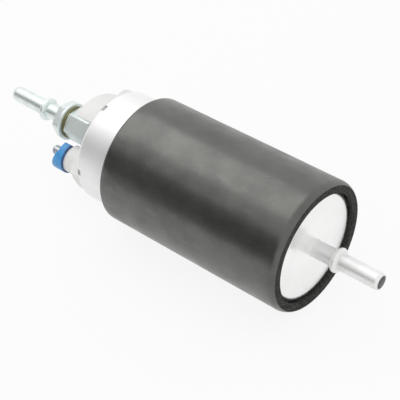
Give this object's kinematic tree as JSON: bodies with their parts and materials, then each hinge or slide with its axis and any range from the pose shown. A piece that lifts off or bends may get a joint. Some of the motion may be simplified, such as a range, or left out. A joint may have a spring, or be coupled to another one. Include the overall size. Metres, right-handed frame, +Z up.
{
  "type": "electric fuel pump",
  "caption": "In-line gear rotor fuel pump in a foam sleeved can, with beaded end tubes, a check valve and stud terminals.",
  "frame": {"origin": "centre of the foam sleeve, on the pump axis", "axes": "+X along the pump axis towards the inlet tube, -X towards the terminals and the outlet tube, +Z up, -Y towards the side seen in the picture"},
  "size_m": [0.224, 0.0636, 0.0636],
  "materials": {
    "foam": "matte closed cell foam",
    "drawn_aluminium": "bright satin",
    "plated_tube": "bright plated",
    "zinc_plate": "pale zinc plate",
    "olive_washer": "olive passivated",
    "natural_plastic": "smooth moulded",
    "blue_plastic": "smooth moulded",
    "white_plastic": "smooth moulded",
    "stud_steel": "plated",
    "cast_aluminium": "machined",
    "sintered_steel": "sintered and ground",
    "dark_steel": "black oxide",
    "spring_steel": "bright wire",
    "shaft_steel": "ground",
    "bronze": "sintered",
    "copper": "turned copper",
    "enamelled_copper": "enamelled wire",
    "laminated_steel": "stacked sheets",
    "ferrite": "ground ferrite",
    "carbon": "pressed carbon",
    "dark_plastic": "moulded",
    "brown_plastic": "moulded phenolic",
    "seal_rubber": "smooth",
    "mesh_plastic": "moulded"
  },
  "bodies": {
    "pump_body": {"foam_sleeve": "foam", "pump_can": "drawn_aluminium", "inlet_tube": "plated_tube", "inlet_screen": "mesh_plastic", "inlet_plate": "cast_aluminium", "rotor_housing": "cast_aluminium", "outlet_plate": "cast_aluminium", "stack_screws": "dark_steel", "relief_plug": "dark_steel", "relief_spring": "spring_steel", "front_bush": "bronze", "rear_bush": "bronze", "flux_ring": "dark_steel", "upper_magnet": "ferrite", "lower_magnet": "ferrite", "magnet_clips": "spring_steel", "brush_holder": "dark_plastic", "upper_brush_spring": "spring_steel", "lower_brush_spring": "spring_steel", "terminal_cover": "natural_plastic", "cover_seal": "seal_rubber", "live_stud": "stud_steel", "earth_stud": "stud_steel", "live_insulator": "blue_plastic", "earth_insulator": "white_plastic", "live_lead": "copper", "earth_lead": "copper", "valve_body": "zinc_plate", "valve_seal": "seal_rubber", "valve_spring": "spring_steel", "valve_retainer": "dark_steel", "crush_washer": "olive_washer", "outlet_nut": "zinc_plate", "outlet_tube": "plated_tube"},
    "armature": {"armature_shaft": "shaft_steel", "drive_pin": "shaft_steel", "thrust_washers": "dark_plastic", "armature_core": "laminated_steel", "armature_windings": "enamelled_copper", "commutator_hub": "brown_plastic", "commutator_bars": "copper", "inner_rotor": "sintered_steel"},
    "outer_rotor": {"outer_rotor": "sintered_steel"},
    "relief_ball": {"relief_ball": "shaft_steel"},
    "valve_poppet": {"valve_poppet": "bronze"},
    "upper_brush": {"upper_brush": "carbon"},
    "lower_brush": {"lower_brush": "carbon"}
  },
  "joints": [
    {"name": "armature_spin", "type": "hinge", "parent": "pump_body", "child": "armature", "pos_m": [0, 0, 0], "axis": [1, 0, 0], "continuous": true},
    {"name": "outer_rotor_spin", "type": "hinge", "parent": "pump_body", "child": "outer_rotor", "pos_m": [0.03, 0.00125, 0], "axis": [1, 0, 0], "continuous": true},
    {"name": "relief_valve_slide", "type": "slide", "parent": "pump_body", "child": "relief_ball", "axis": [1, 0, 0], "range_m": [0, 0.002], "stiffness_N_per_m": 2000, "springref_m": -0.0022, "deforming": ["relief_spring"]},
    {"name": "check_valve_slide", "type": "slide", "parent": "pump_body", "child": "valve_poppet", "axis": [-1, 0, 0], "range_m": [0, 0.0025], "stiffness_N_per_m": 250, "springref_m": -0.003, "deforming": ["valve_spring"]},
    {"name": "upper_brush_slide", "type": "slide", "parent": "pump_body", "child": "upper_brush", "axis": [0, 0, 1], "range_m": [0, 0.003], "stiffness_N_per_m": 300, "springref_m": -0.004, "deforming": ["upper_brush_spring"]},
    {"name": "lower_brush_slide", "type": "slide", "parent": "pump_body", "child": "lower_brush", "axis": [0, 0, -1], "range_m": [0, 0.003], "stiffness_N_per_m": 300, "springref_m": -0.004, "deforming": ["lower_brush_spring"]}
  ],
  "couplings": [
    {"joint": "outer_rotor_spin", "follows": "armature_spin", "ratio": 0.85714}
  ]
}
